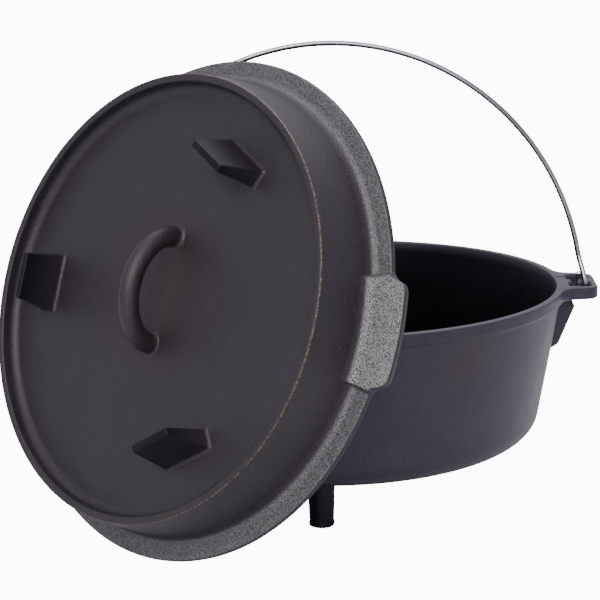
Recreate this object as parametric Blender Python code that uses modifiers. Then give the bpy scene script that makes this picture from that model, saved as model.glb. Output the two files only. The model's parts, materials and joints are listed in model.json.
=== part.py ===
"""Cast iron camp oven: a pot on three legs, a deep flanged lid and a wire bail.

Units are metres, +Z is up and the ground is z = 0. The pot stands upright with
its axis at x = POT_X, y = POT_Y. The lid leans on the pot's rim with its top
side outward, and the bail stands upright over the pot.
"""

import math

import bmesh
import bpy
from mathutils import Matrix, Vector

# ---------------------------------------------------------------- dimensions
# The frame's origin is under the middle of the whole group, on the ground.
POT_X = 0.020324
POT_Y = 0.032215

# Pot: radii and heights of the turned body
RIM_OUTER_R = 0.1550
RIM_INNER_R = 0.1498
RIM_TOP_Z = 0.1400
BAND_H = 0.0074
WALL_TOP_R = 0.1523
WALL_FOOT_R = 0.1358
POT_BOTTOM_Z = 0.0385
BOTTOM_THICK = 0.0060
WALL_THICK = 0.0048
POT_CORNER_R = 0.0180
POT_INNER_CORNER_R = 0.0140
RIM_ROUND = 0.0012
POT_STEPS = 76

# Ears on the pot's rim, one at each end of the bail's axis
EAR_AZIMUTH = math.radians(-4.0)
EAR_TIP_X = 0.1757
EAR_HALF_W = 0.0228
EAR_TIP_ROUND = 0.0095
EAR_FILLET_R = 0.0160
EAR_ROOT_X = 0.1520
EAR_TOP_Z = 0.1396
EAR_THICK = 0.0074
HOLE_X0 = 0.1578
HOLE_X1 = 0.1713
HOLE_T0 = 0.0034
HOLE_T1 = 0.0177
NECK_X0 = 0.1602
NECK_X1 = 0.1642
WINDOW_INTO_RIB = 0.0050
RIB_HALF_W = 0.0140
RIB_TOP_X = 0.1640
RIB_FOOT_X = 0.1506
RIB_FOOT_Z = 0.0995
RIB_HEEL_Z = 0.0970

# Legs
LEG_AZIMUTH = math.radians(-97.4)
LEG_RADIAL = 0.0877
LEG_SOLE_R = 0.0084
LEG_WAIST_R = 0.0076
LEG_TOP_R = 0.0092
LEG_ROOT_R = 0.0150
LEG_STEPS = 20

# Lid, measured from the plane of its raised top rim, depths going down
LID_STEPS = 76
CREST_OUTER_R = 0.1364
CREST_INNER_R = 0.1318
PLATE_DEPTH = 0.0100
PLATE_THICK = 0.0060
PLATE_CORNER_R = 0.0060
WALL_END_R = 0.1415
WALL_END_DEPTH = 0.0342
FLANGE_R = 0.1555
FLANGE_DEPTH = 0.0385
FLANGE_THICK = 0.0038
CAVITY_MOUTH_R = 0.1382
CAVITY_TOP_R = 0.1322
CAVITY_CORNER_R = 0.0070
LID_ROUND = 0.0013

# Lifting lugs on the lid's flange
LUG_R = 0.1652
LUG_HALF_ANGLE = math.radians(10.6)
LUG_FACE_DEPTH = 0.0345
LUG_BACK_DEPTH = 0.0420
LUG_INNER_R = 0.1398
LUG_CORNER_R = 0.0043
LUG_FILLET_R = 0.0052

# Feet and loop handle on the lid's top plate
FOOT_TURN = math.radians(2.2)
FOOT_TOP_RADIAL = 0.0953
FOOT_BASE_RADIAL = 0.0980
FOOT_HEIGHT = 0.0192
FOOT_TOP_HALF_W = 0.0145
FOOT_TOP_HALF_T = 0.0023
FOOT_BASE_HALF_W = 0.0183
FOOT_BASE_HALF_T = 0.0060
LOOP_HALF_SPAN = 0.0330
LOOP_BAR_R = 0.0062
LOOP_RISE = 0.0262
LOOP_MIDDLE = (0.0038, 0.0050)
LOOP_TURN = math.radians(-0.8)

# Where the lid leans: the way its top side faces, and its tilt from vertical
LID_AZIMUTH = math.radians(-133.29)
LID_TILT = math.radians(20.44)
LID_SIDEWAYS = 0.0003
LID_GAP = 0.0005

# Bail: round wire, half an ellipse over the pot, a round hook at each end
WIRE_R = 0.00175
BAIL_HALF_SPAN = 0.1661
BAIL_RISE = 0.1694
BAIL_BASE_Z = 0.1303
HINGE_Z = 0.1390
HOOK_R = 0.0100
HOOK_X = 0.1680
HOOK_PITCH = 0.0042
HOOK_TURN = math.radians(240.0)
BAIL_OFFSET_T = 0.0030
HOOK_LEAD = 0.0220
OFFSET_LEAD = 0.0500

MERGE = 0.00001


# ------------------------------------------------------------------- helpers
def clear_scene():
    for item in list(bpy.data.objects):
        bpy.data.objects.remove(item, do_unlink=True)


def new_collection(name):
    group = bpy.data.collections.new(name)
    bpy.context.scene.collection.children.link(group)
    return group


def new_material(name, colour, roughness, metallic):
    material = bpy.data.materials.new(name)
    material.use_nodes = True
    shader = material.node_tree.nodes["Principled BSDF"]
    shader.inputs["Base Color"].default_value = (*colour, 1.0)
    shader.inputs["Roughness"].default_value = roughness
    shader.inputs["Metallic"].default_value = metallic
    return material


def smooth_mesh(mesh, degrees=35.0):
    mesh.shade_smooth()
    mesh.set_sharp_from_angle(angle=math.radians(degrees))


def arc(cx, cy, radius, start, end, count):
    """Points along a circle's arc, both ends included, angles in radians."""
    points = []
    for i in range(count + 1):
        a = start + (end - start) * i / count
        points.append((cx + radius * math.cos(a), cy + radius * math.sin(a)))
    return points


def round_corners(corners, radii):
    """An outline whose corners are replaced by arcs; radius 0 keeps a corner."""
    outline = []
    last = len(corners) - 1
    for i, corner in enumerate(corners):
        here = Vector(corner)
        if i in (0, last) or radii[i] <= 0.0:
            outline.append((here.x, here.y))
            continue
        to_a = (Vector(corners[i - 1]) - here).normalized()
        to_b = (Vector(corners[i + 1]) - here).normalized()
        half = to_a.angle(to_b) / 2.0
        reach = radii[i] / math.tan(half)
        middle = here + (to_a + to_b).normalized() * (radii[i] / math.sin(half))
        first = here + to_a * reach - middle
        final = here + to_b * reach - middle
        a0 = math.atan2(first.y, first.x)
        turn = math.atan2(final.y, final.x) - a0
        turn = (turn + math.pi) % (2.0 * math.pi) - math.pi
        count = 2 if radii[i] * abs(turn) < 0.006 else 4
        outline.extend(arc(middle.x, middle.y, radii[i], a0, a0 + turn, count))
    return outline


def turned(name, profile, steps, group):
    """A solid of revolution about Z from (radius, height) points."""
    mesh = bpy.data.meshes.new(name)
    form = bmesh.new()
    verts = [form.verts.new((r, 0.0, z)) for r, z in profile]
    for first, second in zip(verts, verts[1:]):
        form.edges.new((first, second))
    form.to_mesh(mesh)
    form.free()
    item = bpy.data.objects.new(name, mesh)
    group.objects.link(item)
    screw = item.modifiers.new("Turn", "SCREW")
    screw.axis = "Z"
    screw.angle = 2.0 * math.pi
    screw.steps = steps
    screw.render_steps = steps
    screw.use_merge_vertices = True
    screw.merge_threshold = MERGE
    screw.use_smooth_shade = True
    return item


def to_solid(item, group):
    """The evaluated shape of an object as a welded mesh object in its place."""
    depsgraph = bpy.context.evaluated_depsgraph_get()
    mesh = bpy.data.meshes.new_from_object(item.evaluated_get(depsgraph))
    form = bmesh.new()
    form.from_mesh(mesh)
    bmesh.ops.remove_doubles(form, verts=form.verts, dist=MERGE)
    bmesh.ops.recalc_face_normals(form, faces=form.faces)
    form.to_mesh(mesh)
    form.free()
    name = item.name
    solid = bpy.data.objects.new(name + "_solid", mesh)
    solid.matrix_world = item.matrix_world.copy()
    bpy.data.objects.remove(item, do_unlink=True)
    solid.name = name
    group.objects.link(solid)
    return solid


def flat_plate(name, outline, z_low, z_high, edge, group):
    """An outline given thickness and small rounded edges."""
    curve = bpy.data.curves.new(name, "CURVE")
    curve.dimensions = "2D"
    curve.fill_mode = "BOTH"
    curve.extrude = (z_high - z_low) / 2.0 - edge
    curve.bevel_depth = edge
    curve.bevel_resolution = 0
    curve.offset = -edge
    spline = curve.splines.new("POLY")
    spline.points.add(len(outline) - 1)
    for point, (x, y) in zip(spline.points, outline):
        point.co = (x, y, 0.0, 1.0)
    spline.use_cyclic_u = True
    item = bpy.data.objects.new(name, curve)
    item.location = (0.0, 0.0, (z_low + z_high) / 2.0)
    group.objects.link(item)
    bpy.context.view_layer.update()
    return to_solid(item, group)


def wire(name, path, radius, sides, group):
    """A round bar along a path of points, with closed ends."""
    curve = bpy.data.curves.new(name, "CURVE")
    curve.dimensions = "3D"
    curve.bevel_depth = radius
    curve.bevel_resolution = sides
    curve.use_fill_caps = True
    spline = curve.splines.new("POLY")
    spline.points.add(len(path) - 1)
    for point, co in zip(spline.points, path):
        point.co = (*co, 1.0)
    item = bpy.data.objects.new(name, curve)
    group.objects.link(item)
    bpy.context.view_layer.update()
    return to_solid(item, group)


def join(target, tools, operation="UNION"):
    for tool in tools:
        step = target.modifiers.new(tool.name, "BOOLEAN")
        step.operation = operation
        step.solver = "EXACT"
        step.object = tool
        tool.hide_render = True
        tool.display_type = "WIRE"


def move_mesh(item, matrix):
    item.data.transform(matrix)


# --------------------------------------------------------------------- pot
def pot_profile():
    """From the inside's middle, up to the rim and down to the underside."""
    inner_floor = POT_BOTTOM_Z + BOTTOM_THICK
    band_z = RIM_TOP_Z - BAND_H
    corners = [
        (0.0, inner_floor),
        (WALL_FOOT_R - WALL_THICK, inner_floor),
        (WALL_TOP_R - WALL_THICK, band_z - 0.004),
        (RIM_INNER_R, RIM_TOP_Z),
        (RIM_OUTER_R, RIM_TOP_Z),
        (RIM_OUTER_R, band_z),
        (WALL_TOP_R, band_z - 0.0012),
        (WALL_FOOT_R, POT_BOTTOM_Z),
        (0.0, POT_BOTTOM_Z),
    ]
    rounds = [
        0.0,
        POT_INNER_CORNER_R,
        0.010,
        RIM_ROUND,
        RIM_ROUND,
        RIM_ROUND,
        0.0,
        POT_CORNER_R,
        0.0,
    ]
    return round_corners(corners, rounds)


def ear_outline():
    """One ear in plan, X along the bail's axis, from inside the rim outward."""
    side_y = EAR_HALF_W
    centre_y = side_y + EAR_FILLET_R
    reach = RIM_OUTER_R + EAR_FILLET_R
    centre_x = math.sqrt(reach**2 - centre_y**2)
    start = math.atan2(-centre_y, -centre_x)
    fillet = arc(centre_x, centre_y, EAR_FILLET_R, start, -math.pi / 2.0, 5)
    tip = arc(
        EAR_TIP_X - EAR_TIP_ROUND,
        side_y - EAR_TIP_ROUND,
        EAR_TIP_ROUND,
        math.pi / 2.0,
        math.radians(8.0),
        6,
    )
    root_angle = math.atan2(fillet[0][1], fillet[0][0])
    root = arc(0.0, 0.0, EAR_ROOT_X, -root_angle, root_angle, 8)
    upper = fillet + tip
    lower = [(x, -y) for x, y in reversed(upper)]
    return root + upper + lower


def hole_outline():
    """Two rounded windows joined by a narrow neck, an H lying on its side."""
    half = [
        (NECK_X0, 0.0),
        (NECK_X0, HOLE_T0),
        (HOLE_X0, HOLE_T0),
        (HOLE_X0, HOLE_T1),
        (HOLE_X1, HOLE_T1),
        (HOLE_X1, HOLE_T0),
        (NECK_X1, HOLE_T0),
        (NECK_X1, 0.0),
    ]
    rounds = [0.0, 0.0008, 0.0020, 0.0045, 0.0045, 0.0024, 0.0008, 0.0]
    upper = round_corners(half, rounds)[1:-1]
    lower = [(x, -y) for x, y in reversed(upper)]
    return upper + lower


def rib_mesh(name, group):
    """The tapered rib under an ear, as an outline in the X-Z plane."""
    top_z = EAR_TOP_Z - EAR_THICK / 2.0
    inside = WALL_FOOT_R + 0.0080
    outline = [
        (inside, RIB_HEEL_Z - 0.0010),
        (RIB_FOOT_X - 0.0045, RIB_HEEL_Z),
        (RIB_FOOT_X, RIB_FOOT_Z),
        (RIB_TOP_X, EAR_TOP_Z - EAR_THICK),
        (RIB_TOP_X, top_z),
        (inside + 0.0050, top_z),
    ]
    item = flat_plate(name, outline, -RIB_HALF_W, RIB_HALF_W, 0.0012, group)
    item.location = (0.0, 0.0, 0.0)
    move_mesh(item, Matrix.Rotation(math.pi / 2.0, 4, "X"))
    return item


def leg_profile():
    root_z = POT_BOTTOM_Z + BOTTOM_THICK / 2.0
    corners = [
        (0.0, root_z),
        (LEG_ROOT_R, root_z),
        (LEG_ROOT_R, POT_BOTTOM_Z - 0.0006),
        (LEG_TOP_R, POT_BOTTOM_Z - 0.0055),
        (LEG_WAIST_R, 0.0100),
        (LEG_SOLE_R, 0.0020),
        (LEG_SOLE_R, 0.0),
        (0.0, 0.0),
    ]
    rounds = [0.0, 0.0, 0.0, 0.0060, 0.0300, 0.0060, 0.0008, 0.0]
    return round_corners(corners, rounds)


def build_pot(group, cutters, material):
    pot = turned("pot", pot_profile(), POT_STEPS, group)
    tools = []
    ear_low = EAR_TOP_Z - EAR_THICK
    for side, turn in (("right", 0.0), ("left", math.pi)):
        ear = flat_plate(
            "ear_" + side,
            ear_outline(),
            ear_low,
            EAR_TOP_Z,
            0.0008,
            cutters,
        )
        rib = rib_mesh("rib_" + side, cutters)
        for item in (ear, rib):
            item.rotation_euler = (0.0, 0.0, EAR_AZIMUTH + turn)
            tools.append(item)
    for i in range(3):
        azimuth = LEG_AZIMUTH + i * 2.0 * math.pi / 3.0
        leg = turned("leg_%d" % (i + 1), leg_profile(), LEG_STEPS, cutters)
        leg.location = (
            LEG_RADIAL * math.cos(azimuth),
            LEG_RADIAL * math.sin(azimuth),
            0.0,
        )
        tools.append(leg)
    join(pot, tools)
    holes = []
    for side, turn in (("right", 0.0), ("left", math.pi)):
        hole = flat_plate(
            "hole_" + side,
            hole_outline(),
            ear_low - WINDOW_INTO_RIB,
            EAR_TOP_Z + 0.004,
            0.0,
            cutters,
        )
        hole.rotation_euler = (0.0, 0.0, EAR_AZIMUTH + turn)
        holes.append(hole)
    join(pot, holes, "DIFFERENCE")
    for item in [pot] + tools + holes:
        item.location.x += POT_X
        item.location.y += POT_Y
    pot.data.materials.append(material)
    return pot


# --------------------------------------------------------------------- lid
def lid_profile():
    """From the top plate's middle, over the rim, down and back underneath."""
    back = FLANGE_DEPTH + FLANGE_THICK
    corners = [
        (0.0, -PLATE_DEPTH),
        (CREST_INNER_R - 0.0008, -PLATE_DEPTH),
        (CREST_INNER_R, 0.0),
        (CREST_OUTER_R, 0.0),
        (WALL_END_R, -WALL_END_DEPTH),
        (WALL_END_R + 0.0030, -FLANGE_DEPTH),
        (FLANGE_R, -FLANGE_DEPTH),
        (FLANGE_R, -back),
        (CAVITY_MOUTH_R, -back),
        (CAVITY_TOP_R, -PLATE_DEPTH - PLATE_THICK),
        (0.0, -PLATE_DEPTH - PLATE_THICK),
    ]
    rounds = [
        0.0,
        PLATE_CORNER_R,
        LID_ROUND,
        LID_ROUND,
        0.0060,
        0.0030,
        LID_ROUND,
        LID_ROUND,
        LID_ROUND,
        CAVITY_CORNER_R,
        0.0,
    ]
    return round_corners(corners, rounds)


def lug_outline():
    """One lug as seen down the lid's axis, centred on +X."""
    end = LUG_HALF_ANGLE
    reach = FLANGE_R + LUG_FILLET_R
    bend = math.asin(LUG_FILLET_R / reach)
    away = end + bend
    fillet_x = reach * math.cos(away)
    fillet_y = reach * math.sin(away)
    first = away + math.pi
    fillet = arc(fillet_x, fillet_y, LUG_FILLET_R, first, end + 1.5 * math.pi, 4)
    inner_reach = LUG_R - LUG_CORNER_R
    back = end - math.asin(LUG_CORNER_R / inner_reach)
    corner_x = inner_reach * math.cos(back)
    corner_y = inner_reach * math.sin(back)
    corner = arc(corner_x, corner_y, LUG_CORNER_R, end + math.pi / 2.0, back, 4)
    outer = arc(0.0, 0.0, LUG_R, back, 0.0, 4)[1:]
    upper = fillet + corner + outer
    lower = [(x, -y) for x, y in reversed(upper[:-1])]
    inner = arc(0.0, 0.0, LUG_INNER_R, -away, away, 10)
    return inner + upper + lower


def foot_mesh(name, group):
    """A tapered block, wide across the radius and narrow along it."""
    low = -PLATE_DEPTH - 0.0020
    mesh = bpy.data.meshes.new(name)
    form = bmesh.new()
    bmesh.ops.create_cube(form, size=2.0)
    span = FOOT_HEIGHT + PLATE_DEPTH
    for vert in form.verts:
        top = vert.co.z > 0.0
        z = FOOT_HEIGHT if top else low
        share = (FOOT_HEIGHT - z) / span
        half_t = FOOT_TOP_HALF_T + (FOOT_BASE_HALF_T - FOOT_TOP_HALF_T) * share
        radial = FOOT_TOP_RADIAL + (FOOT_BASE_RADIAL - FOOT_TOP_RADIAL) * share
        half_w = FOOT_TOP_HALF_W + (FOOT_BASE_HALF_W - FOOT_TOP_HALF_W) * share
        vert.co = (
            radial + math.copysign(half_t, vert.co.x),
            math.copysign(half_w, vert.co.y),
            z,
        )
    bmesh.ops.bevel(
        form,
        geom=form.edges,
        offset=0.0014,
        segments=2,
        profile=0.5,
        affect="EDGES",
    )
    form.to_mesh(mesh)
    form.free()
    item = bpy.data.objects.new(name, mesh)
    group.objects.link(item)
    return item


def loop_path():
    """Half an ellipse over the plate, its ends sunk a little into it."""
    points = [(0.0, LOOP_HALF_SPAN, -PLATE_DEPTH - 0.0030)]
    for i in range(25):
        a = math.pi * i / 24
        y = LOOP_HALF_SPAN * math.cos(a)
        z = -PLATE_DEPTH + LOOP_RISE * math.sin(a)
        points.append((0.0, y, z))
    points.append((0.0, -LOOP_HALF_SPAN, -PLATE_DEPTH - 0.0030))
    return points


def lid_placement():
    """Location and axes of the leaning lid: rim to the plate, edge to ground."""
    outward = Vector((math.cos(LID_AZIMUTH), math.sin(LID_AZIMUTH), 0.0))
    sin_t = math.sin(LID_TILT)
    cos_t = math.cos(LID_TILT)
    normal = outward * cos_t + Vector((0.0, 0.0, sin_t))
    upward = -outward * sin_t + Vector((0.0, 0.0, cos_t))
    across = upward.cross(normal)
    edge_r = FLANGE_R - LID_ROUND
    edge_d = FLANGE_DEPTH + FLANGE_THICK - LID_ROUND
    height = edge_d * sin_t + edge_r * cos_t + LID_ROUND
    corner = RIM_OUTER_R - RIM_ROUND
    contact = corner * cos_t + (RIM_TOP_Z - RIM_ROUND) * sin_t + RIM_ROUND
    plate = PLATE_DEPTH + PLATE_THICK + LID_GAP
    out = (contact + plate - height * sin_t) / cos_t
    place = outward * out + across * LID_SIDEWAYS
    place += Vector((POT_X, POT_Y, height))
    matrix = Matrix((across, upward, normal)).transposed()
    return place, matrix


def build_lid(group, cutters, material):
    place, matrix = lid_placement()
    lid = turned("lid", lid_profile(), LID_STEPS, group)
    tools = []
    for i in range(2):
        lug = flat_plate(
            "lug_%d" % (i + 1),
            lug_outline(),
            -LUG_BACK_DEPTH,
            -LUG_FACE_DEPTH,
            0.0010,
            cutters,
        )
        spin = Matrix.Rotation(FOOT_TURN + i * math.pi, 4, "Z")
        lift = Matrix.Translation(lug.location)
        move_mesh(lug, spin @ lift)
        lug.location = (0.0, 0.0, 0.0)
        tools.append(lug)
    for i in range(3):
        foot = foot_mesh("foot_%d" % (i + 1), cutters)
        angle = FOOT_TURN + math.radians(60.0 + 120.0 * i)
        move_mesh(foot, Matrix.Rotation(angle, 4, "Z"))
        tools.append(foot)
    loop = wire("loop_handle", loop_path(), LOOP_BAR_R, 3, cutters)
    middle = Matrix.Translation((*LOOP_MIDDLE, 0.0))
    move_mesh(loop, middle @ Matrix.Rotation(LOOP_TURN, 4, "Z"))
    tools.append(loop)
    join(lid, tools)
    for item in [lid] + tools:
        item.location = place
        item.rotation_euler = matrix.to_euler()
    lid.data.materials.append(material)
    return lid


# -------------------------------------------------------------------- bail
def ease(share):
    share = min(1.0, max(0.0, share))
    return share * share * (3.0 - 2.0 * share)


def arch_x(height):
    """The bail's half width at a height above the ground."""
    part = (height - BAIL_BASE_Z) / BAIL_RISE
    return BAIL_HALF_SPAN * math.sqrt(max(0.0, 1.0 - part * part))


def bail_side():
    """One side, from the top middle to the hook's end, in the hinge's frame."""
    points = []
    lead_angle = math.asin((HINGE_Z + 0.026 - BAIL_BASE_Z) / BAIL_RISE)
    count = 26
    for i in range(1, count + 1):
        a = math.pi / 2.0 + (lead_angle - math.pi / 2.0) * i / count
        height = BAIL_BASE_Z + BAIL_RISE * math.sin(a) - HINGE_Z
        offset = -BAIL_OFFSET_T * (1.0 - ease((height - HOOK_LEAD) / OFFSET_LEAD))
        points.append((BAIL_HALF_SPAN * math.cos(a), offset, height))
    for i in range(1, 10):
        height = 0.026 * (1.0 - i / 10.0)
        swing = 1.0 - ease(height / HOOK_LEAD)
        offset = -BAIL_OFFSET_T - (HOOK_R - BAIL_OFFSET_T) * swing
        x = arch_x(HINGE_Z + height)
        x += (HOOK_X - arch_x(HINGE_Z)) * (1.0 - ease(height / HOOK_LEAD))
        points.append((x, offset, height))
    count = 22
    for i in range(count + 1):
        turn = HOOK_TURN * i / count
        a = math.pi + turn
        x = HOOK_X - HOOK_PITCH * turn / (2.0 * math.pi)
        points.append((x, HOOK_R * math.cos(a), HOOK_R * math.sin(a)))
    return points


def build_bail(group, material):
    side = bail_side()
    top = BAIL_BASE_Z + BAIL_RISE - HINGE_Z
    left = [(-x, y, z) for x, y, z in reversed(side)]
    path = left + [(0.0, 0.0, top)] + side
    bail = wire("bail", path, WIRE_R, 2, group)
    bail.location = (POT_X, POT_Y, HINGE_Z)
    bail.rotation_euler = (0.0, 0.0, EAR_AZIMUTH)
    smooth_mesh(bail.data, 60.0)
    bail.data.materials.append(material)
    return bail


# -------------------------------------------------------------------- build
clear_scene()
parts = new_collection("camp_oven")
shapes = new_collection("camp_oven_cutters")
iron = new_material("cast_iron_seasoned", (0.012, 0.012, 0.014), 0.5, 0.6)
lid_iron = new_material("cast_iron_lid", (0.014, 0.013, 0.012), 0.55, 0.6)
steel = new_material("steel_wire_bright", (0.55, 0.57, 0.6), 0.3, 1.0)
build_pot(parts, shapes, iron)
build_lid(parts, shapes, lid_iron)
build_bail(parts, steel)
bpy.context.view_layer.update()
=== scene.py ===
# %% [markdown]
# # A cast iron camp oven, finished for a studio render
#
# The object is a deep pot on three legs, a flanged lid with its own feet and a loop
# handle, and a wire bail. The CAD model already fixes every size and place, so this
# script measures that model, builds finer pieces on top of it, and gives them their
# finishes. Work starts by loading the CAD frame and noting its box.

import json
import math

import bmesh
import bpy
from mathutils import Matrix, Vector


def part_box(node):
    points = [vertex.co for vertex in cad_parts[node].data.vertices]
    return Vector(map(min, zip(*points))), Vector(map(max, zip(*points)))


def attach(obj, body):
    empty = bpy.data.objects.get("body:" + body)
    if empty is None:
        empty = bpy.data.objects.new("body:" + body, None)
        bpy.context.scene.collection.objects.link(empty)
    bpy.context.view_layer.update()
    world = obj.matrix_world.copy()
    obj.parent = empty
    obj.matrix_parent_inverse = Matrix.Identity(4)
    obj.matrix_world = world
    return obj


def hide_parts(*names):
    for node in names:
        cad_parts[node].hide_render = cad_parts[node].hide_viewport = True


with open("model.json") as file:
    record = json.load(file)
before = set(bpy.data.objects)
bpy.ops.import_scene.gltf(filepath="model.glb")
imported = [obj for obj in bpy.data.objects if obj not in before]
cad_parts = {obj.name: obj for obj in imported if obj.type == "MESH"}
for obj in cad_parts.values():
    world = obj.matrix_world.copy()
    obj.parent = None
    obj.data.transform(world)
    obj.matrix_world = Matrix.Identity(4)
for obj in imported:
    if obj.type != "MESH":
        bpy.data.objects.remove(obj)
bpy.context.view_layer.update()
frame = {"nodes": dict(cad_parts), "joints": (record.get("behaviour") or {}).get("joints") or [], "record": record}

# %% [markdown]
# ## Where the three castings stand
#
# Each piece is easiest to model upright, about its own axis and in millimetres, and
# to put in its place at the very end with one matrix. The pot's axis is the middle of
# its CAD box. The bail turns about the hinge the record names. The lid leans, so its
# axis is the direction it slides along when it is lifted, and its middle is halfway
# between the farthest points of the CAD lid in each direction.

# %% Measure the frame
MM = 0.001
joints = {joint["name"]: joint for joint in frame["joints"]}
mounts = {mount["name"]: mount for mount in frame["record"]["mounts"]}


def reach(node, direction):
    """The least and most a CAD node's points reach along a direction."""
    along = [v.co.dot(direction) for v in frame["nodes"][node].data.vertices]
    return min(along), max(along)


def placing(origin, x_axis, z_axis):
    """The matrix that takes millimetres about an axis to metres in the frame."""
    y_axis = z_axis.cross(x_axis)
    turn = Matrix((x_axis, y_axis, z_axis)).transposed().to_4x4()
    return Matrix.Translation(origin) @ turn @ Matrix.Scale(MM, 4)


up = Vector((0.0, 0.0, 1.0))
hinge = Vector(joints["bail_hinge"]["pos_m"])
ear_line = -Vector(joints["bail_hinge"]["axis"]).normalized()
pot_low, pot_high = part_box("pot")
pot_middle = (pot_low + pot_high) / 2.0
pot_place = placing(Vector((pot_middle.x, pot_middle.y, 0.0)), ear_line, up)
bail_place = placing(hinge, ear_line, up)

FOOT_ABOVE_CREST = 0.0192
lid_axis = Vector(joints["lid_lift_off"]["axis"]).normalized()
lid_upward = (up - lid_axis * lid_axis.z).normalized()
lid_across = lid_upward.cross(lid_axis)
lid_middle = lid_axis * (reach("lid", lid_axis)[1] - FOOT_ABOVE_CREST)
for way in (lid_across, lid_upward):
    low, high = reach("lid", way)
    lid_middle += way * (low + high) / 2.0
foot_place = Vector(mounts["lid_foot_1"]["pos_m"]) - lid_middle
foot_turn = math.atan2(foot_place.dot(lid_upward), foot_place.dot(lid_across))
lug_turn = foot_turn - math.radians(60.0)
lug_way = lid_across * math.cos(lug_turn) + lid_upward * math.sin(lug_turn)
lid_place = placing(lid_middle, lug_way, lid_axis)
print("pot axis", pot_middle.to_2d(), "lid middle", lid_middle)
print("lugs turned %.2f degrees" % math.degrees(lug_turn))

# %% [markdown]
# ## Camera
#
# A long lens, a metre away and a little above the rim, sees the lid's top and the
# pot's mouth at once. It is rolled a degree, as a hand-set camera is.

# %% Camera
VIEW_DOWN = math.radians(12.78)
VIEW_DISTANCE = 1.06645
VIEW_ROLL = math.radians(-1.29)
LENS_MM = 94.446

target = Vector((pot_middle.x - 0.022118, pot_middle.y, 0.128061))
away = Vector((0.0, -math.cos(VIEW_DOWN), math.sin(VIEW_DOWN)))
lens = bpy.data.cameras.new("studio_camera")
lens.lens = LENS_MM
lens.sensor_width = 36.0
camera = bpy.data.objects.new("studio_camera", lens)
camera.matrix_world = (
    Matrix.Translation(target + away * VIEW_DISTANCE)
    @ Matrix.Rotation(math.pi / 2.0 - VIEW_DOWN, 4, "X")
    @ Matrix.Rotation(VIEW_ROLL, 4, "Z")
)
bpy.context.scene.collection.objects.link(camera)
bpy.context.scene.camera = camera
print("camera at", camera.matrix_world.translation)

# %% [markdown]
# ## Light and floor
#
# Black iron is drawn almost only by what it reflects. A white studio all round gives
# the pale rims at grazing angles, and a broad soft panel above the camera fills the
# faces that look forward. A small one at the upper left puts the short highlights on
# the handle and on the edges of the feet. Seen straight by the camera, the backdrop
# and the floor are as bright as white paper; the iron itself sees them dimmer, so it
# stays black.

# %% Studio
def soft_panel(name, place, aim, width, height, power):
    """A rectangular soft light at a place, facing a point."""
    lamp = bpy.data.lights.new(name, "AREA")
    lamp.shape = "RECTANGLE"
    lamp.size = width
    lamp.size_y = height
    lamp.energy = power
    item = bpy.data.objects.new(name, lamp)
    item.location = place
    item.rotation_euler = (Vector(aim) - Vector(place)).to_track_quat("-Z", "Y").to_euler()
    bpy.context.scene.collection.objects.link(item)
    return item


soft_panel("front_panel", (-0.3, -2.2, 1.5), (0.0, 0.0, 0.15), 1.6, 1.2, 60.0)
soft_panel("side_panel", (-0.9, -1.5, 1.7), (-0.1, -0.1, 0.15), 0.35, 0.35, 14.0)
soft_panel("top_panel", (0.3, 0.8, 2.2), (0.0, 0.0, 0.1), 1.6, 1.2, 40.0)

PAPER_WHITE = 12.0
world = bpy.data.worlds.new("white_studio")
world.use_nodes = True
sky = world.node_tree
backdrop = sky.nodes["Background"]
backdrop.inputs["Color"].default_value = (0.89, 0.88, 1.0, 1.0)
seen = sky.nodes.new("ShaderNodeLightPath")
bright = sky.nodes.new("ShaderNodeMapRange")
bright.inputs["To Min"].default_value = 1.05
bright.inputs["To Max"].default_value = PAPER_WHITE
sky.links.new(seen.outputs["Is Camera Ray"], bright.inputs["Value"])
sky.links.new(bright.outputs[0], backdrop.inputs["Strength"])
bpy.context.scene.world = world

floor_form = bmesh.new()
bmesh.ops.create_circle(floor_form, cap_ends=True, segments=96, radius=40.0)
floor_mesh = bpy.data.meshes.new("studio_floor")
floor_form.to_mesh(floor_mesh)
floor_form.free()
floor = bpy.data.objects.new("studio_floor", floor_mesh)
bpy.context.scene.collection.objects.link(floor)

# %% [markdown]
# ## Two small helpers for materials
#
# Colours are easiest to pick as the hex codes of a colour chart, but a shader works
# in linear light, so one function converts them. A second one adds a node, with its
# settings and its wires, in one line, which keeps each material readable.

# %% Material helpers
def colour(code):
    """A hex colour code as linear red, green, blue and alpha."""
    parts = [int(code[i : i + 2], 16) / 255.0 for i in (1, 3, 5)]
    linear = [c / 12.92 if c <= 0.04045 else ((c + 0.055) / 1.055) ** 2.4 for c in parts]
    return (*linear, 1.0)


def node(tree, kind, wires=None, **settings):
    """Adds a node; wires maps its inputs to a value or to another node's output."""
    made = tree.nodes.new(kind)
    for key, value in settings.items():
        setattr(made, key, value)
    for socket, value in (wires or {}).items():
        if isinstance(value, bpy.types.NodeSocket):
            tree.links.new(value, made.inputs[socket])
        else:
            made.inputs[socket].default_value = value
    return made


def fresh_material(name):
    """A new material with only its shader, and that shader."""
    material = bpy.data.materials.new(name)
    material.use_nodes = True
    return material, material.node_tree, material.node_tree.nodes["Principled BSDF"]


def blend_colours(tree, share, first, second, way="MIX"):
    """Two colours mixed by a share from 0 to 1."""
    made = node(tree, "ShaderNodeMix", data_type="RGBA", blend_type=way)
    for socket, value in ((0, share), (6, first), (7, second)):
        if isinstance(value, bpy.types.NodeSocket):
            tree.links.new(value, made.inputs[socket])
        else:
            made.inputs[socket].default_value = value
    return made.outputs[2]


def maths(tree, operation, first, second=0.0, clamp=False):
    """One sum on two numbers."""
    made = node(tree, "ShaderNodeMath", {0: first, 1: second}, operation=operation)
    made.use_clamp = clamp
    return made.outputs[0]


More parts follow.
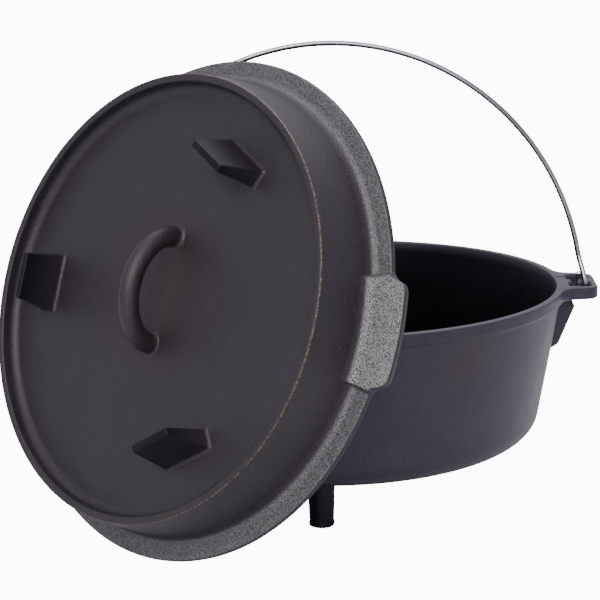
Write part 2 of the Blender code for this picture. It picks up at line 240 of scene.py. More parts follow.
def local_mm(tree, place):
    """Object coordinates brought back to a piece's own axis, in millimetres."""
    origin, turn, scale = place.decompose()
    points = node(tree, "ShaderNodeTexCoord").outputs["Object"]
    mapping = node(
        tree,
        "ShaderNodeMapping",
        {
            "Vector": points,
            "Location": origin,
            "Rotation": turn.to_euler(),
            "Scale": scale,
        },
        vector_type="TEXTURE",
    )
    return mapping.outputs["Vector"]


floor_paint, tree, shader = fresh_material("paper_sweep_matt_white")
paper = local_mm(tree, Matrix.Scale(1.0, 4))
fibre = node(tree, "ShaderNodeTexNoise", {"Vector": paper, "Scale": 9.0, "Detail": 2.0})
tone = blend_colours(tree, fibre.outputs[0], colour("#cbccce"), colour("#d4d4d5"))
tree.links.new(tone, shader.inputs["Base Color"])
shader.inputs["Roughness"].default_value = 0.9
glow = node(tree, "ShaderNodeEmission", {"Strength": PAPER_WHITE})
seen = node(tree, "ShaderNodeLightPath")
paper_mix = node(
    tree,
    "ShaderNodeMixShader",
    {0: seen.outputs["Is Camera Ray"], 1: shader.outputs[0], 2: glow.outputs[0]},
)
tree.links.new(paper_mix.outputs[0], tree.nodes["Material Output"].inputs["Surface"])
floor.data.materials.append(floor_paint)

# %% [markdown]
# ## Turning a profile
#
# The pot, the lid and the legs are all round, so each starts as a profile: a chain of
# corner points standing in the X-Z plane. Bevelling a corner of the chain rounds it,
# and a spin about Z sweeps the surface. The spin runs in stretches, because the lugs
# and ears need many narrow columns while the plain wall needs few.

# %% Profile and spin helpers
WELD = 0.01


def rounded_chain(form, corners):
    """A chain through (radius, height, rounding) corners, with the corners rounded."""
    chain = [form.verts.new((r, 0.0, z)) for r, z, _ in corners]
    for first, second in zip(chain, chain[1:]):
        form.edges.new((first, second))
    spots = [vert.co.copy() for vert in chain]
    for i in range(1, len(corners) - 1):
        rounding = corners[i][2]
        if rounding <= 0.0:
            continue
        back = spots[i - 1] - spots[i]
        ahead = spots[i + 1] - spots[i]
        half = back.angle(ahead) / 2.0
        bmesh.ops.bevel(
            form,
            geom=[chain[i]],
            offset=rounding / math.tan(half),
            offset_type="OFFSET",
            segments=5 if rounding < 4.0 else 9,
            profile=0.5,
            affect="VERTICES",
            material=-1,
        )


def split_long(form, longest):
    """Cuts the chain's long steep edges, so that they can be shaped later."""
    for edge in list(form.edges):
        tall = abs(edge.verts[0].co.z - edge.verts[1].co.z)
        if tall < longest:
            continue
        cuts = int(edge.calc_length() / longest)
        if cuts:
            bmesh.ops.subdivide_edges(form, edges=[edge], cuts=cuts)


def spin_round(form, stretches):
    """Sweeps the chain about Z through (degrees, steps) stretches and welds it."""
    chain = list(form.verts) + list(form.edges)
    for degrees, steps in stretches:
        swept = bmesh.ops.spin(
            form,
            geom=chain,
            cent=(0.0, 0.0, 0.0),
            axis=(0.0, 0.0, 1.0),
            angle=math.radians(degrees),
            steps=steps,
            use_merge=False,
            use_duplicate=False,
        )
        chain = swept["geom_last"]
    bmesh.ops.remove_doubles(form, verts=form.verts, dist=WELD)


def s_step(past, height, foot_round, corner_round):
    """A step's height where `past` is the way beyond its middle: corner, then foot."""
    if foot_round + corner_round > height:
        lean = math.acos(1.0 - height / (foot_round + corner_round))
    else:
        lean = math.pi / 2.0
    foot = foot_round * math.sin(lean)
    corner = corner_round * math.sin(lean)
    if past >= foot:
        return 0.0
    if past <= -corner:
        return height
    if past >= 0.0:
        x = foot - past
        return foot_round - math.sqrt(foot_round**2 - x * x)
    x = past + corner
    return height - corner_round + math.sqrt(corner_round**2 - x * x)


def ease(share):
    """A smooth ramp from 0 to 1."""
    share = min(1.0, max(0.0, share))
    return share * share * (3.0 - 2.0 * share)


# %% [markdown]
# ## Fillets and webs
#
# On a casting nothing meets at a knife edge: feet, handle and legs all run out into
# the plate through a quarter-round fillet. The fillet is made from the open bottom
# rim of a part. The rim is extruded a few times, and every step moves outwards and
# down along a quarter circle, with a narrow flat skirt at the end. The flat plate
# between the skirts is then filled as one web, so the casting is a single shell.

# %% Fillet and web helpers
def open_rim(form, verts):
    """The boundary edges among some vertices."""
    chosen = set(verts)
    return [e for e in form.edges if e.is_boundary and set(e.verts) <= chosen]


def run_out(form, rim, outward, radius, steps=6, skirt=0.9, widen=(1.0, 1.0)):
    """Extrudes a rim down a quarter-round fillet and a flat skirt."""
    for vert in {v for edge in rim for v in edge.verts}:
        way = Vector((vert.normal.x, vert.normal.y, 0.0)).normalized()
        vert[outward] = Vector((way.x * widen[0], way.y * widen[1], 0.0))
    out, drop = 0.0, 0.0
    for k in range(1, steps + 2):
        a = math.pi / 2.0 * min(k, steps) / steps
        next_out = radius * (1.0 - math.cos(a)) + (skirt if k > steps else 0.0)
        next_drop = radius * math.sin(a)
        grown = bmesh.ops.extrude_edge_only(form, edges=rim)["geom"]
        for vert in (g for g in grown if isinstance(g, bmesh.types.BMVert)):
            way = vert[outward]
            vert.co += Vector(way) * (next_out - out)
            vert.co.z -= next_drop - drop
        rim = [g for g in grown if isinstance(g, bmesh.types.BMEdge)]
        rim = [e for e in rim if e.is_boundary]
        out, drop = next_out, next_drop
    return rim


def add_part(form, part):
    """Copies a small form into a bigger one and frees the small one."""
    made = bpy.data.meshes.new("part")
    part.to_mesh(made)
    part.free()
    form.from_mesh(made)
    bpy.data.meshes.remove(made)


def fill_web(form, height):
    """Fills the flat web between all the open rims at one height."""
    rims = [
        e
        for e in form.edges
        if e.is_boundary and all(abs(v.co.z - height) < 0.01 for v in e.verts)
    ]
    for edge in rims:
        for vert in edge.verts:
            vert.co.z = height
    filled = bmesh.ops.triangle_fill(form, edges=rims, use_beauty=True, use_dissolve=False)
    return [g for g in filled["geom"] if isinstance(g, bmesh.types.BMFace)]


def finish_piece(name, form, place, body, node_name, material, sharp=40.0):
    """Closes a form, puts it in its place and hands it to the frame."""
    bmesh.ops.remove_doubles(form, verts=form.verts, dist=WELD)
    bmesh.ops.recalc_face_normals(form, faces=form.faces)
    bmesh.ops.transform(form, matrix=place, verts=form.verts)
    loose = sum(1 for e in form.edges if not e.is_manifold)
    mesh = bpy.data.meshes.new(name)
    form.to_mesh(mesh)
    faces = sum(len(f.verts) - 2 for f in form.faces)
    form.free()
    mesh.shade_smooth()
    mesh.set_sharp_from_angle(angle=math.radians(sharp))
    piece = bpy.data.objects.new(name, mesh)
    bpy.context.scene.collection.objects.link(piece)
    piece.data.materials.append(material)
    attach(piece, body)
    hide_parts(node_name)
    print(name, faces, "triangles,", loose, "open edges")
    return piece


# %% [markdown]
# ## Cast iron
#
# Iron poured in a sand mould and oil-seasoned: a near-black baked coat over a grey
# grain. On the smooth faces the coat is a satin that turns pale at grazing angles. On
# the flange and lugs the sand has left coarse grit of about 1 mm that sparkles. Where
# the crest of the lid's rim has been rubbed, the coat is thin and shows as a broken
# golden brown line. Inside the pot, on the lid's feet and on the legs the colour is
# painted near-black as painted shade, and the metallic is raised there so that the
# reflection dims too. Each zone is painted on the mesh as an attribute: "sand", "rub"
# and one for the painted shade.

# %% Cast iron material
def cast_iron(name, place, tone_dark, tone_light, roughness, warm_patch=None):
    """Sand-cast, oil-seasoned iron for one casting."""
    material, tree, shader = fresh_material(name)
    spot = local_mm(tree, place)
    sand = node(tree, "ShaderNodeAttribute", attribute_name="sand").outputs["Fac"]
    rub = node(tree, "ShaderNodeAttribute", attribute_name="rub").outputs["Fac"]
    painted_shade = node(tree, "ShaderNodeAttribute", attribute_name="painted_shade").outputs["Fac"]

    cloud = node(tree, "ShaderNodeTexNoise", {"Vector": spot, "Scale": 0.035, "Detail": 3.0})
    grain = node(tree, "ShaderNodeTexNoise", {"Vector": spot, "Scale": 0.9, "Detail": 3.0})
    grit = node(
        tree,
        "ShaderNodeTexNoise",
        {"Vector": spot, "Scale": 1.7, "Detail": 2.0, "Roughness": 0.6},
    )
    speck = node(tree, "ShaderNodeTexVoronoi", {"Vector": spot, "Scale": 0.34, "Randomness": 1.0})

    mottle = node(
        tree,
        "ShaderNodeMapRange",
        {"Value": grain.outputs[0], "From Min": 0.35, "From Max": 0.65},
    ).outputs[0]
    share = maths(tree, "MULTIPLY_ADD", cloud.outputs[0], 0.5)
    tree.links.new(maths(tree, "MULTIPLY", mottle, 0.5), share.node.inputs[2])
    skin = blend_colours(tree, share, colour(tone_dark), colour(tone_light))
    fleck = node(
        tree,
        "ShaderNodeMapRange",
        {"Value": speck.outputs["Distance"], "From Min": 0.09, "From Max": 0.05},
    ).outputs[0]
    skin = blend_colours(tree, maths(tree, "MULTIPLY", fleck, 0.22), skin, colour("#6e6762"))
    grit_tone = node(
        tree,
        "ShaderNodeMapRange",
        {"Value": grit.outputs[0], "From Min": 0.38, "From Max": 0.66},
    ).outputs[0]
    sandy = blend_colours(tree, grit_tone, colour("#232324"), colour("#93918f"))
    skin = blend_colours(tree, sand, skin, sandy)
    worn = node(
        tree,
        "ShaderNodeMapRange",
        {"Value": grain.outputs[0], "From Min": 0.42, "From Max": 0.58},
    ).outputs[0]
    skin = blend_colours(tree, maths(tree, "MULTIPLY", rub, worn), skin, colour("#7d5f3c"))
    # Painted shade: the colour goes near-black (#050506) where the shade attribute is set.
    skin = blend_colours(tree, painted_shade, skin, colour("#050506"))
    if warm_patch:
        middle, size = warm_patch
        gap = node(
            tree,
            "ShaderNodeVectorMath",
            {0: spot, 1: middle},
            operation="DISTANCE",
        ).outputs["Value"]
        warm = node(
            tree,
            "ShaderNodeMapRange",
            {"Value": gap, "From Min": size, "From Max": size * 0.25, "To Max": 0.35},
        ).outputs[0]
        skin = blend_colours(tree, warm, skin, colour("#2b1a15"))
    tree.links.new(skin, shader.inputs["Base Color"])

    satin = maths(tree, "MULTIPLY_ADD", cloud.outputs[0], 0.16)
    satin.node.inputs[2].default_value = roughness - 0.08
    gloss = maths(tree, "MULTIPLY_ADD", sand, -0.12)
    tree.links.new(satin, gloss.node.inputs[2])
    tree.links.new(gloss, shader.inputs["Roughness"])
    # The metallic rises with the painted shade, so that the near-black base dims the reflection as well.
    shade_metallic = maths(tree, "MULTIPLY_ADD", painted_shade, 0.6)
    shade_metallic.node.inputs[2].default_value = 0.35
    tree.links.new(shade_metallic, shader.inputs["Metallic"])

    fine_bump = node(
        tree,
        "ShaderNodeBump",
        {"Height": grain.outputs[0], "Strength": 0.8, "Distance": 0.00035},
    )
    coarse_height = maths(tree, "MULTIPLY", grit.outputs[0], sand)
    coarse_bump = node(
        tree,
        "ShaderNodeBump",
        {
            "Height": coarse_height,
            "Strength": 1.0,
            "Distance": 0.0006,
            "Normal": fine_bump.outputs[0],
        },
    )
    tree.links.new(coarse_bump.outputs[0], shader.inputs["Normal"])
    return material


pot_iron = cast_iron(
    "cast_iron_sand_cast_satin",
    pot_place,
    "#15121d",
    "#2e2a3a",
    0.42,
    ((88.7, -122.1, 116.0), 42.0),
)
lid_iron = cast_iron(
    "cast_iron_sand_cast_seasoned",
    lid_place,
    "#120e12",
    "#2d262d",
    0.5,
    ((0.0, 5.0, -10.0), 55.0),
)

# %% [markdown]
# ## Lid
#
# The lid is turned from its crest outwards: a recess 10 mm deep that holds coals, a
# crest, a conical wall and a flange that sits on the pot's rim. The flange carries
# two lifting lugs opposite each other. They are raised from the turned flange by
# moving its columns out and up, with an S-shaped step at each end.

# %% Lid: profile and spin
PLATE_Z = -10.0
FLAT_R = 122.0
lid = bmesh.new()
sand_paint = lid.verts.layers.float.new("sand")
rub_paint = lid.verts.layers.float.new("rub")
rounded_chain(
    lid,
    [
        (FLAT_R, PLATE_Z, 0.0),
        (131.0, PLATE_Z, 6.0),
        (131.8, 0.0, 1.3),
        (136.4, 0.0, 1.3),
        (141.5, -34.2, 10.0),
        (144.5, -38.5, 5.0),
        (155.5, -38.5, 1.3),
        (155.5, -42.3, 1.3),
        (138.2, -42.3, 1.3),
        (132.2, -16.0, 7.0),
        (0.0, -16.0, 0.0),
    ],
)
split_long(lid, 2.5)
LUG_END = 10.6
half_turn = [(8.0, 8), (6.0, 48), (152.0, 152), (6.0, 48), (8.0, 8)]
spin_round(lid, half_turn + half_turn)
print("lid turned:", len(lid.verts), "points")

# %% Lid: lugs
FLANGE_R = 155.5
LUG_OUT = 9.7
LUG_DRAFT = 2.8
LUG_UP = 4.0
for vert in lid.verts:
    r = math.hypot(vert.co.x, vert.co.y)
    z = vert.co.z
    if r < 140.0 or z > -16.0:
        continue
    off = abs(math.degrees(math.atan2(vert.co.y, vert.co.x)))
    off = min(off, 180.0 - off)
    past = math.radians(off - LUG_END) * 160.0
    upper = 1.0 if z > -39.9 else 0.0
    out = s_step(past, LUG_OUT, 9.0, 7.0) * (1.0 + upper * LUG_DRAFT / LUG_OUT)
    rise = s_step(past - 4.6, LUG_UP, 2.6, 1.8)
    share = min(1.0, max(0.0, (r - 146.0) / (154.2 - 146.0)))
    if z > -34.5:
        upper = ease((-16.0 - z) / 14.0)
    on_wall = 1.0 - ease((r - 141.0) / 4.0)
    new_r = r + out * share - 0.149 * rise * upper * on_wall
    vert.co.x *= new_r / r
    vert.co.y *= new_r / r
    vert.co.z = z + rise * upper
    flat = ease((r - 142.2) / 2.0) * (1.0 - ease((r - 154.6) / 0.6))
    valley = 4.0 * (rise / LUG_UP) * (1.0 - rise / LUG_UP)
    if z > -39.9:
        vert[sand_paint] = flat * (0.46 + 0.54 * rise / LUG_UP) * (1.0 - 0.85 * valley)
# The worn line runs round the outer edge of the crest.
for vert in lid.verts:
    r = math.hypot(vert.co.x, vert.co.y)
    if -0.9 < vert.co.z < -0.3 and r > 135.2:
        vert[rub_paint] = 0.6
print("lug radius", max(math.hypot(v.co.x, v.co.y) for v in lid.verts))

# %% [markdown]
# ## Lid: feet and handle
#
# Three tapered feet let the lid stand upside down as a griddle. Each starts as a
# cube, is tapered and loses its bottom, has its edges rounded and then runs out into
# the plate. The loop handle is a round bar bent into an arch: a circle is carried
# along the arch step by step, and both open ends run out in the same way.

# %% Lid: feet
FILLET_FOOT = 2.4
FOOT_TOP_Z = 19.2
FOOT_SPAN = FOOT_TOP_Z - PLATE_Z
FOOT_TOP_R, FOOT_BASE_R = 95.3, 98.0
FOOT_TOP_THICK, FOOT_BASE_THICK = 2.3, 6.0
FOOT_TOP_WIDTH, FOOT_BASE_WIDTH = 14.5, 18.3
FOOT_EDGE = 1.0
# How dark the painted shade on the lid's feet is.
FOOT_SHADE = 0.7


def foot_form():
    """One foot on the X axis, with its fillet, open at the bottom."""
    form = bmesh.new()
    foot_outward = form.verts.layers.float_vector.new("outward")
    foot_shade_paint = form.verts.layers.float.new("painted_shade")
    bmesh.ops.create_cube(form, size=2.0)
    base_z = PLATE_Z + FILLET_FOOT
    for vert in form.verts:
        top = vert.co.z > 0.0
        share = 0.0 if top else 1.0 - FILLET_FOOT / FOOT_SPAN
        radial = FOOT_TOP_R + (FOOT_BASE_R - FOOT_TOP_R) * share
        thick = FOOT_TOP_THICK + (FOOT_BASE_THICK - FOOT_TOP_THICK) * share
        width = FOOT_TOP_WIDTH + (FOOT_BASE_WIDTH - FOOT_TOP_WIDTH) * share
        vert.co = Vector(
            (
                radial + math.copysign(thick, vert.co.x),
                math.copysign(width, vert.co.y),
                FOOT_TOP_Z if top else base_z,
            )
        )
    bottom = [f for f in form.faces if all(abs(v.co.z - base_z) < 0.01 for v in f.verts)]
    bmesh.ops.delete(form, geom=bottom, context="FACES_ONLY")
    bmesh.ops.bevel(
        form,
        geom=[e for e in form.edges if not e.is_boundary],
        offset=FOOT_EDGE,
        offset_type="OFFSET",
        segments=4,
        profile=0.5,
        affect="EDGES",
        material=-1,
        clamp_overlap=True,
    )
    bmesh.ops.recalc_face_normals(form, faces=form.faces)
    for vert in form.verts:
        vert.normal_update()
    run_out(form, [e for e in form.edges if e.is_boundary], foot_outward, FILLET_FOOT)
    for vert in form.verts:
        # Painted shade darkens each foot, from none at the fillet to full strength 5 mm above it.
        vert[foot_shade_paint] = FOOT_SHADE * ease((vert.co.z - base_z) / 5.0)
    return form


for i in range(3):
    foot = foot_form()
    turn = Matrix.Rotation(math.radians(60.0 + 120.0 * i), 3, "Z")
    bmesh.ops.rotate(foot, verts=foot.verts, cent=(0.0, 0.0, 0.0), matrix=turn)
    print("foot", i + 1, len(foot.verts), "points")
    add_part(lid, foot)

# %% Lid: loop handle
def carry_bar(form, path, radius, sides):
    """Sweeps a circle along a path of points; returns the two open end rings."""
    first_way = (path[1] - path[0]).normalized()
    turn = first_way.to_track_quat("Z", "Y").to_matrix().to_4x4()
    ring = bmesh.ops.create_circle(
        form,
        cap_ends=False,
        segments=sides,
        radius=radius,
        matrix=Matrix.Translation(path[0]) @ turn,
    )["verts"]
    start = list(ring)
    edges = list({e for v in ring for e in v.link_edges})
    way = first_way
    for i in range(1, len(path)):
        after = path[min(i + 1, len(path) - 1)]
        next_way = (after - path[i - 1]).normalized()
        if i == len(path) - 1:
            next_way = (path[i] - path[i - 1]).normalized()
        swing = way.rotation_difference(next_way).to_matrix().to_4x4()
        step = Matrix.Translation(path[i]) @ swing @ Matrix.Translation(-path[i - 1])
        grown = bmesh.ops.extrude_edge_only(form, edges=edges)["geom"]
        ring = [g for g in grown if isinstance(g, bmesh.types.BMVert)]
        bmesh.ops.transform(form, matrix=step, verts=ring)
        chosen = set(ring)
        edges = [
            g for g in grown if isinstance(g, bmesh.types.BMEdge) and set(g.verts) <= chosen
        ]
        way = next_way
    return start, ring


LOOP_SPAN = 33.0
LOOP_RISE = 26.5
BAR_R = 6.2
FILLET_LOOP = 3.0
LOOP_MIDDLE = (3.99, 4.85)
LOOP_TURN = math.radians(-3.0)
LOOP_STEPS = 48
lift = math.asin(FILLET_LOOP / LOOP_RISE)
arch = []
for i in range(LOOP_STEPS + 1):
    a = lift + (math.pi - 2.0 * lift) * i / LOOP_STEPS
    arch.append(Vector((0.0, LOOP_SPAN * math.cos(a), PLATE_Z + LOOP_RISE * math.sin(a))))
loop = bmesh.new()
loop_outward = loop.verts.layers.float_vector.new("outward")
ends = carry_bar(loop, arch, BAR_R, 28)
bmesh.ops.recalc_face_normals(loop, faces=loop.faces)
for ring, widen in zip(ends, ((0.9, 1.6), (0.35, 1.2))):
    for vert in ring:
        vert.co.z = PLATE_Z + FILLET_LOOP
        vert.normal_update()
    run_out(loop, open_rim(loop, ring), loop_outward, FILLET_LOOP, widen=widen)
loop_place = Matrix.Translation((*LOOP_MIDDLE, 0.0)) @ Matrix.Rotation(LOOP_TURN, 4, "Z")
bmesh.ops.transform(loop, matrix=loop_place, verts=loop.verts)
print("loop handle", len(loop.verts), "points")
add_part(lid, loop)

# %% Lid: close the plate
web = fill_web(lid, PLATE_Z)
print("plate web", len(web), "faces")
finish_piece("lid_casting", lid, lid_place, "lid", "lid", lid_iron)

# %% [markdown]
# ## Pot
#
# The pot is turned the same way: floor, inside wall, rim, a narrow band below the
# rim, the slightly conical outside and a flat underside. Its two ears grow out of the
# band: every column of the band is pushed out to the ear's outline, and below it the
# wall is pushed out to a rib that tapers down into the wall.

# %% Pot: profile and spin
BOTTOM_Z = 38.5
LEG_WEB_R = 112.0
pot = bmesh.new()
inside_shade_paint = pot.verts.layers.float.new("painted_shade")
rounded_chain(
    pot,
    [
        (0.0, 44.5, 0.0),
        (131.0, 44.5, 14.0),
        (147.5, 128.6, 10.0),
        (149.8, 140.0, 1.2),
        (155.0, 140.0, 1.2),
        (155.0, 132.6, 1.2),
        (152.9, 131.8, 0.5),
        (152.2, 130.4, 0.8),
        (135.8, BOTTOM_Z, 18.0),
        (LEG_WEB_R, BOTTOM_Z, 0.0),
    ],
)
split_long(pot, 2.5)
half_turn = [(3.6, 8), (3.0, 24), (7.4, 30), (152.0, 152), (7.4, 30), (3.0, 24), (3.6, 8)]
spin_round(pot, half_turn + half_turn)
print("pot turned:", len(pot.verts), "points")

# %% Pot: ears and ribs
EAR_TIP = 175.7
EAR_HALF = 24.6
EAR_TIP_ROUND = 9.2
EAR_FILLET = 16.0


def ear_reach():
    """The ear's outline as (turn, radius) pairs, from the ear's middle outward."""
    centre_t = EAR_HALF + EAR_FILLET
    centre_x = math.sqrt((155.0 + EAR_FILLET) ** 2 - centre_t**2)
    outline = [(EAR_TIP, 0.0)]
    tip_x = EAR_TIP - EAR_TIP_ROUND
    tip_t = EAR_HALF - EAR_TIP_ROUND
    for i in range(13):
        a = math.pi / 2.0 * i / 12
        outline.append((tip_x + EAR_TIP_ROUND * math.cos(a), tip_t + EAR_TIP_ROUND * math.sin(a)))
    end = math.atan2(-centre_t, -centre_x)
    for i in range(13):
        a = -math.pi / 2.0 + (end + math.pi / 2.0) * i / 12
        x, t = centre_x + EAR_FILLET * math.cos(a), centre_t + EAR_FILLET * math.sin(a)
        outline.append((min(x, tip_x), t) if i == 0 else (x, t))
    return [(math.atan2(t, x), math.hypot(x, t)) for x, t in outline]


ear_line_points = ear_reach()


def between(points, at):
    """A value read off a list of (place, value) pairs."""
    if at >= points[-1][0]:
        return points[-1][1]
    for (a, va), (b, vb) in zip(points, points[1:]):
        if a <= at <= b and b > a:
            return va + (vb - va) * (at - a) / (b - a)
    return points[0][1]


RIB_HALF_TURN = 5.05
RIB_FOOT_R, RIB_FOOT_Z = 150.6, 99.5
RIB_TOP_R, RIB_TOP_Z = 164.0, 132.7
RIB_SLOPE = (RIB_TOP_R - RIB_FOOT_R) / (RIB_TOP_Z - RIB_FOOT_Z)
for vert in pot.verts:
    r = math.hypot(vert.co.x, vert.co.y)
    z = vert.co.z
    # Painted shade covers the inside of the pot and fades out just below the rim.
    inner_wall = 131.0 + (z - 44.5) * 0.1963 if z < 129.0 else 149.9
    if z > 40.0 and r < inner_wall + 1.0:
        vert[inside_shade_paint] = 0.8 - 0.8 * ease((z - 133.0) / 6.0)
    if r < 144.0 or z < 88.0:
        continue
    off = abs(math.degrees(math.atan2(vert.co.y, vert.co.x)))
    off = min(off, 180.0 - off)
    if off > 14.0:
        continue
    new_r = r
    if z >= 131.7 and r > 151.9:
        share = min(1.0, (r - 152.0) / 1.8)
        if z > 138.0:
            share = min(1.0, max(0.0, (r - 150.9) / 2.9))
        ear = between(ear_line_points, math.radians(off))
        new_r = r + max(0.0, ear - 155.0) * share
    elif r > 149.0 or z < 131.7:
        inside = r < inner_wall + 2.0 if z < 128.0 else r < 150.0
        if not inside:
            face = RIB_FOOT_R + RIB_SLOPE * (z - RIB_FOOT_Z)
            face /= math.cos(math.radians(off))
            foot = ease((z - 96.3) / 3.4)
            side = s_step(math.radians(off - RIB_HALF_TURN) * 152.0, 1.0, 0.5, 0.45)
            new_r = r + max(0.0, face - r) * foot * side
    vert.co.x *= new_r / r
    vert.co.y *= new_r / r
print("ear tip", max(math.hypot(v.co.x, v.co.y) for v in pot.verts))

# %% Pot: legs
LEG_FILLET = 5.0
leg_spots = []
to_local = pot_place.inverted()
for i in (1, 2, 3):
    leg_spots.append(to_local @ Vector(mounts["leg_sole_%d" % i]["pos_m"]))
for spot in leg_spots:
    leg = bmesh.new()
    leg_outward = leg.verts.layers.float_vector.new("outward")
    leg_shade_paint = leg.verts.layers.float.new("painted_shade")
    rounded_chain(
        leg,
        [
            (0.0, 0.0, 0.0),
            (8.3, 0.0, 0.8),
            (8.3, 2.4, 0.5),
            (7.9, 2.8, 0.4),
            (9.0, BOTTOM_Z - LEG_FILLET, 0.0),
        ],
    )
    spin_round(leg, [(360.0, 40)])
    bmesh.ops.recalc_face_normals(leg, faces=leg.faces)
    for vert in leg.verts:
        vert.co.z = -vert.co.z
        vert.normal_update()
    rim = [e for e in leg.edges if e.is_boundary]
    run_out(leg, rim, leg_outward, LEG_FILLET)
    for vert in leg.verts:
        vert.co.z = -vert.co.z
        # Painted shade darkens each leg at half strength below 30 mm and fades out towards the pot's underside.
        vert[leg_shade_paint] = 0.5 - 0.5 * ease((vert.co.z - 30.0) / 8.0)
    bmesh.ops.translate(leg, vec=(spot.x, spot.y, 0.0), verts=leg.verts)
    add_part(pot, leg)
web = fill_web(pot, BOTTOM_Z)
print("underside web", len(web), "faces")
pot_piece = finish_piece("pot_casting", pot, pot_place, "pot", "pot", pot_iron)

# %% [markdown]
# ## Pot: windows in the ears
#
# Each ear has an H-shaped window: two slots on either side of a tongue, joined by a
# narrow neck. Three rounded blocks, flared at the top so that the window's upper
# edges come out chamfered, are cut out of each ear one after the other.

# %% Pot: windows
BLOCK_MIDDLE_Z = 132.0
BLOCK_TALL = 13.0


def window_block(form, x_low, x_high, t_low, t_high, rounding):
    """A rounded upright block, flared at its top, for cutting one part of a window."""
    middle = Vector(((x_low + x_high) / 2.0, (t_low + t_high) / 2.0, BLOCK_MIDDLE_Z))
    block = bmesh.new()
    size = Matrix.Diagonal((x_high - x_low, t_high - t_low, BLOCK_TALL, 1.0))
    bmesh.ops.create_cube(block, size=1.0, matrix=Matrix.Translation(middle) @ size)
    upright = [e for e in block.edges if abs(e.verts[0].co.z - e.verts[1].co.z) > 1.0]
    bmesh.ops.bevel(
        block,
        geom=upright,
        offset=rounding,
        offset_type="OFFSET",
        segments=4,
        profile=0.5,
        affect="EDGES",
        material=-1,
    )
    for height, flare in ((1.0, 0.8), (3.0, 0.0)):
        top = [f for f in block.faces if f.normal.z > 0.9]
        grown = bmesh.ops.extrude_face_region(block, geom=top)["geom"]
        bmesh.ops.delete(block, geom=top, context="FACES_ONLY")
        for vert in (g for g in grown if isinstance(g, bmesh.types.BMVert)):
            way = vert.co - middle
            vert.co.x += math.copysign(flare, way.x)
            vert.co.y += math.copysign(flare, way.y)
            vert.co.z += height
    add_part(form, block)


SLOT_LOW_X, SLOT_HIGH_X, SLOT_ROUND = 157.8, 171.3, 2.6
SLOT_NEAR_T, SLOT_FAR_T = 4.2, 17.7
cutters = []
for x_low, x_high, t_low, t_high, rounding in (
    (SLOT_LOW_X, SLOT_HIGH_X, SLOT_NEAR_T, SLOT_FAR_T, SLOT_ROUND),
    (SLOT_LOW_X, SLOT_HIGH_X, -SLOT_FAR_T, -SLOT_NEAR_T, SLOT_ROUND),
    (160.2, 164.2, -6.0, 6.0, 0.3),
):
    cutter = bmesh.new()
    window_block(cutter, x_low, x_high, t_low, t_high, rounding)
    window_block(cutter, -x_high, -x_low, t_low, t_high, rounding)
    bmesh.ops.recalc_face_normals(cutter, faces=cutter.faces)
    bmesh.ops.transform(cutter, matrix=pot_place, verts=cutter.verts)
    cutter_mesh = bpy.data.meshes.new("window_cutter")
    cutter.to_mesh(cutter_mesh)
    cutter.free()
    cutters.append(bpy.data.objects.new("window_cutter", cutter_mesh))
    bpy.context.scene.collection.objects.link(cutters[-1])
    cut = pot_piece.modifiers.new("windows", "BOOLEAN")
    cut.operation = "DIFFERENCE"
    cut.solver = "MANIFOLD"
    cut.object = cutters[-1]
cut_pot = pot_piece.evaluated_get(bpy.context.evaluated_depsgraph_get())
whole = pot_piece.data
pot_piece.data = bpy.data.meshes.new_from_object(cut_pot)
pot_piece.modifiers.clear()
pot_piece.data.name = "pot_casting"
bpy.data.meshes.remove(whole)
for item in cutters:
    bpy.data.meshes.remove(item.data)
pot_piece.data.set_sharp_from_angle(angle=math.radians(30.0))
check = bmesh.new()
check.from_mesh(pot_piece.data)
loose = sum(not e.is_manifold for e in check.edges)
print("pot after cutting:", len(check.faces), "faces,", loose, "open edges")
check.free()

# %% [markdown]
# ## Bail
#
# The bail is 3.5 mm steel wire, drawn through a die and bent cold: half an ellipse
# over the pot, and at each end a hook that goes down through the front window of the
# ear, under its tongue and up again through the back window. The same bar helper
# carries a smaller circle along this path. Drawn wire is bright, with fine streaks
# along its length and a few darker bands.

# %% Bail: steel
wire_steel, tree, shader = fresh_material("steel_wire_cold_drawn")
along = node(tree, "ShaderNodeAttribute", attribute_name="wire").outputs["Vector"]
streak = node(tree, "ShaderNodeTexNoise", {"Vector": along, "Scale": 1.0, "Detail": 3.0})
band = node(tree, "ShaderNodeTexNoise", {"Vector": along, "Scale": 0.45, "Detail": 1.0})
tone = blend_colours(tree, streak.outputs[0], colour("#3f4247"), colour("#b4b7bd"))
tree.links.new(tone, shader.inputs["Base Color"])
shader.inputs["Metallic"].default_value = 1.0
dull = node(
    tree,
    "ShaderNodeMapRange",
    {"Value": band.outputs[0], "From Min": 0.3, "From Max": 0.7, "To Min": 0.18, "To Max": 0.42},
)
tree.links.new(dull.outputs[0], shader.inputs["Roughness"])
ridge = node(
    tree,
    "ShaderNodeBump",
    {"Height": streak.outputs[0], "Strength": 0.3, "Distance": 0.00005},
)
tree.links.new(ridge.outputs[0], shader.inputs["Normal"])

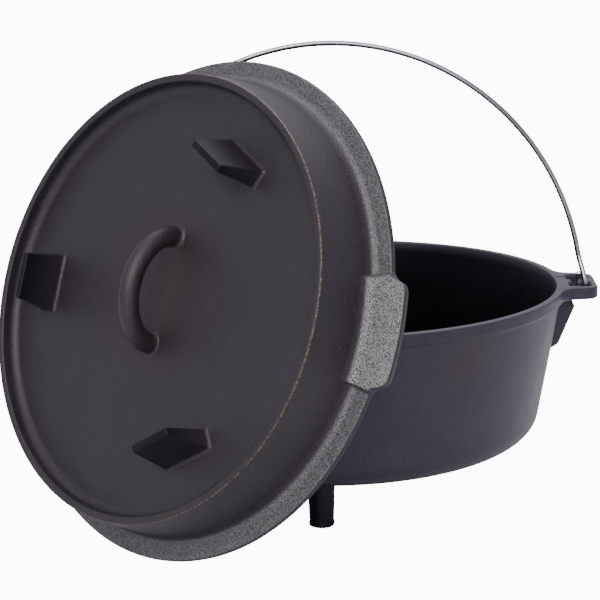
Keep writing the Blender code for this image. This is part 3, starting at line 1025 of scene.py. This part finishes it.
# %% Bail: path
WIRE_R = 1.75
HALF_SPAN = 166.1
ARCH_RISE = 169.4
ARCH_FOOT = -8.7
HOOK_R = 10.0
HOOK_X = 168.0
HOOK_PITCH = 4.2
HOOK_TURN = math.radians(207.0)
OFFSET = 3.0
HOOK_LEAD = 22.0
OFFSET_LEAD = 50.0


def bail_point(height):
    """The wire's place at a height above the hinge, on the right side."""
    part = (height - ARCH_FOOT) / ARCH_RISE
    x = HALF_SPAN * math.sqrt(max(0.0, 1.0 - part * part))
    hook = 1.0 - ease(height / HOOK_LEAD)
    at_hinge = HALF_SPAN * math.sqrt(1.0 - (ARCH_FOOT / ARCH_RISE) ** 2)
    x += (HOOK_X - at_hinge) * hook
    side = -OFFSET * (1.0 - ease((height - HOOK_LEAD) / OFFSET_LEAD))
    side -= (HOOK_R - OFFSET) * hook
    return Vector((x, side, height))


right = []
low_turn = math.asin((24.0 - ARCH_FOOT) / ARCH_RISE)
for i in range(1, 73):
    a = math.pi / 2.0 + (low_turn - math.pi / 2.0) * i / 72
    right.append(bail_point(ARCH_FOOT + ARCH_RISE * math.sin(a)))
for i in range(1, 24):
    right.append(bail_point(24.0 * (1.0 - i / 24.0)))
HOOK_STEPS = 48
for i in range(HOOK_STEPS + 1):
    turn = HOOK_TURN * i / HOOK_STEPS
    a = math.pi + turn
    right.append(
        Vector(
            (
                HOOK_X - HOOK_PITCH * turn / (2.0 * math.pi),
                HOOK_R * math.cos(a),
                HOOK_R * math.sin(a),
            )
        )
    )
left = [Vector((-p.x, p.y, p.z)) for p in reversed(right)]
path = left + [Vector((0.0, 0.0, ARCH_FOOT + ARCH_RISE))] + right
bail = bmesh.new()
wire_paint = bail.verts.layers.float_vector.new("wire")
SIDES = 16
ends = carry_bar(bail, path, WIRE_R, SIDES)
for i, vert in enumerate(bail.verts):
    ring, side = divmod(i, SIDES)
    a = 2.0 * math.pi * side / SIDES
    vert[wire_paint] = Vector((1.6 * math.cos(a), 1.6 * math.sin(a), ring * 0.05))
for ring in ends:
    rim = open_rim(bail, ring)
    bmesh.ops.edgeloop_fill(bail, edges=rim)
print("bail path", len(path), "points")
finish_piece("bail_wire", bail, bail_place, "bail", "bail", wire_steel, 60.0)
